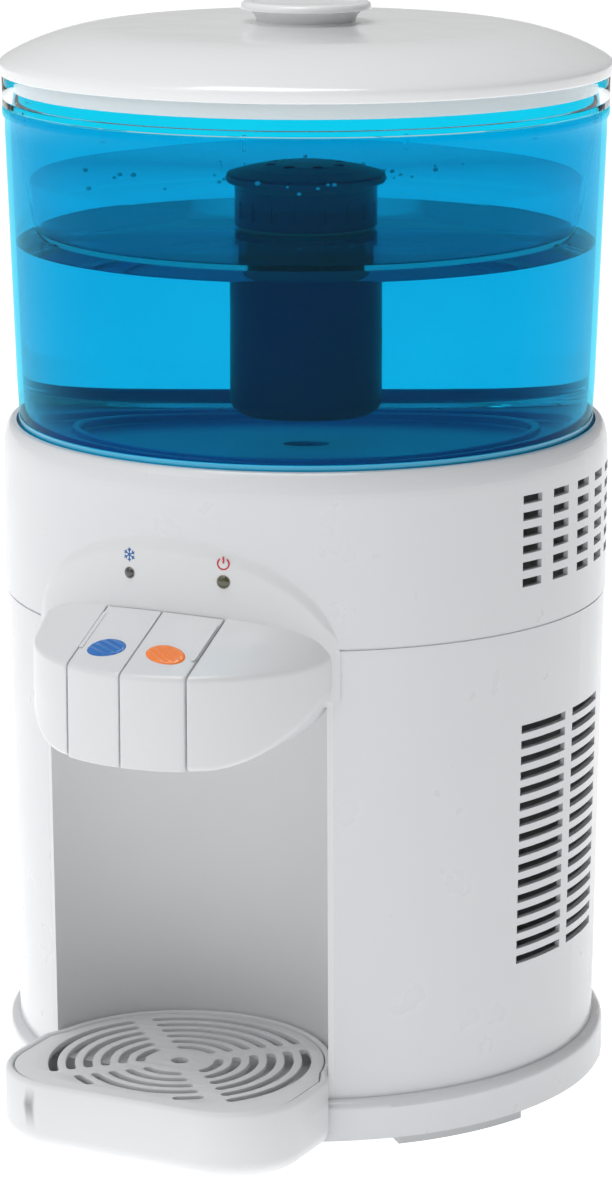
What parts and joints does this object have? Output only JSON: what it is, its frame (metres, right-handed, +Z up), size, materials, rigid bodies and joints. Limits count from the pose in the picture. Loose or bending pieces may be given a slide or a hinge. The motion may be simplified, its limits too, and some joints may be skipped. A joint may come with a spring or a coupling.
{
  "type": "countertop water dispenser",
  "caption": "Round benchtop water dispenser: tinted lift-off tank with a filter vessel and lid, twin press levers over a curved niche, slatted drip tray, vented casing.",
  "frame": {"origin": "centre of the footprint's bounding box, on the surface the dispenser stands on", "axes": "+Z up, -Y the front with the levers and the drip tray, +X to the right as seen from the front"},
  "size_m": [0.286, 0.331, 0.504],
  "materials": {
    "shell_white": "gloss moulded",
    "console_white": "gloss moulded",
    "lid_white": "high gloss moulded",
    "tray_white": "satin moulded",
    "foot_rubber": "soft pale rubber",
    "seal_rubber": "silicone",
    "badge_blue": "gloss moulded",
    "badge_orange": "gloss moulded",
    "lamp_clear": "clear moulded lens",
    "lamp_olive": "tinted moulded lens",
    "tank_blue": "clear tinted moulded",
    "vessel_clear": "clear moulded",
    "filter_blue": "satin moulded",
    "inner_white": "moulded",
    "plunger_grey": "moulded",
    "steel": "bright",
    "aluminium": "extruded",
    "bracket": "galvanised",
    "foam": "rigid foam",
    "ceramic": "ceramic faced",
    "black_plastic": "moulded",
    "switch_red": "gloss moulded",
    "board_green": "circuit board",
    "hose_clear": "silicone tube"
  },
  "bodies": {
    "casing": {"plinth": "shell_white", "rubber_feet": "foot_rubber", "lower_casing": "shell_white", "niche_liner": "shell_white", "upper_casing": "shell_white", "tank_deck": "inner_white", "deck_seal": "seal_rubber", "console": "console_white", "lever_pin": "steel", "cold_tap": "inner_white", "ambient_tap": "inner_white", "cold_spring": "steel", "ambient_spring": "steel", "cold_lamp": "lamp_clear", "power_lamp": "lamp_olive", "lamp_board": "board_green", "cold_tank": "steel", "cold_tank_jacket": "foam", "cold_block": "aluminium", "cooling_module": "ceramic", "heat_sink": "aluminium", "fan_frame": "black_plastic", "cooling_stand": "bracket", "rear_panel": "shell_white", "power_inlet": "black_plastic", "switch_body": "black_plastic", "power_board": "board_green", "ambient_hose": "hose_clear", "cold_feed_hose": "hose_clear", "cold_outlet_hose": "hose_clear", "panel_screws": "steel", "plinth_screws": "steel"},
    "cold_lever": {"cold_lever": "console_white", "cold_badge": "badge_blue"},
    "ambient_lever": {"ambient_lever": "console_white", "ambient_badge": "badge_orange"},
    "cold_plunger": {"cold_plunger": "plunger_grey"},
    "ambient_plunger": {"ambient_plunger": "plunger_grey"},
    "drip_tray": {"drip_tray": "tray_white"},
    "drip_grille": {"drip_grille": "tray_white"},
    "water_tank": {"water_tank": "tank_blue"},
    "tank_valve": {"tank_valve": "inner_white", "tank_valve_seal": "seal_rubber"},
    "upper_vessel": {"upper_vessel": "vessel_clear", "filter_cap": "filter_blue", "filter_body": "filter_blue", "filter_nut": "filter_blue", "filter_seal": "seal_rubber"},
    "lid": {"lid": "lid_white", "lid_knob": "lid_white"},
    "fan_rotor": {"fan_rotor": "black_plastic"},
    "rocker_switch": {"rocker_switch": "switch_red"}
  },
  "joints": [
    {"name": "tank_lift", "type": "slide", "parent": "casing", "child": "water_tank", "axis": [0, 0, 1], "range_m": [0, 0.05]},
    {"name": "valve_lift", "type": "slide", "parent": "water_tank", "child": "tank_valve", "axis": [0, 0, 1], "range_m": [0, 0.003]},
    {"name": "vessel_lift", "type": "slide", "parent": "water_tank", "child": "upper_vessel", "axis": [0, 0, 1], "range_m": [0, 0.15]},
    {"name": "lid_lift", "type": "slide", "parent": "upper_vessel", "child": "lid", "axis": [0, 0, 1], "range_m": [0, 0.06]},
    {"name": "cold_lever_press", "type": "hinge", "parent": "casing", "child": "cold_lever", "pos_m": [0, -0.1245, 0.2375], "axis": [1, 0, 0], "range_deg": [0, 10], "stiffness_Nm_per_rad": 0.8, "springref_deg": -4.58},
    {"name": "ambient_lever_press", "type": "hinge", "parent": "casing", "child": "ambient_lever", "pos_m": [0, -0.1245, 0.2375], "axis": [1, 0, 0], "range_deg": [0, 10], "stiffness_Nm_per_rad": 0.8, "springref_deg": -4.58},
    {"name": "cold_plunger_slide", "type": "slide", "parent": "casing", "child": "cold_plunger", "axis": [0, 0, -1], "range_m": [0, 0.0019], "deforming": ["cold_spring"]},
    {"name": "ambient_plunger_slide", "type": "slide", "parent": "casing", "child": "ambient_plunger", "axis": [0, 0, -1], "range_m": [0, 0.0019], "deforming": ["ambient_spring"]},
    {"name": "tray_pull", "type": "slide", "parent": "casing", "child": "drip_tray", "axis": [0, -1, 0], "range_m": [0, 0.09]},
    {"name": "grille_lift", "type": "slide", "parent": "drip_tray", "child": "drip_grille", "axis": [0, 0, 1], "range_m": [0, 0.03]},
    {"name": "fan_spin", "type": "hinge", "parent": "casing", "child": "fan_rotor", "pos_m": [0, 0.1305, 0.176], "axis": [0, 1, 0], "continuous": true},
    {"name": "switch_rock", "type": "hinge", "parent": "casing", "child": "rocker_switch", "pos_m": [0.02, 0.1521, 0.104], "axis": [1, 0, 0], "range_deg": [-8, 8]}
  ],
  "couplings": [
    {"joint": "cold_plunger_slide", "follows": "cold_lever_press", "m_per_rad": 0.01},
    {"joint": "ambient_plunger_slide", "follows": "ambient_lever_press", "m_per_rad": 0.01}
  ]
}
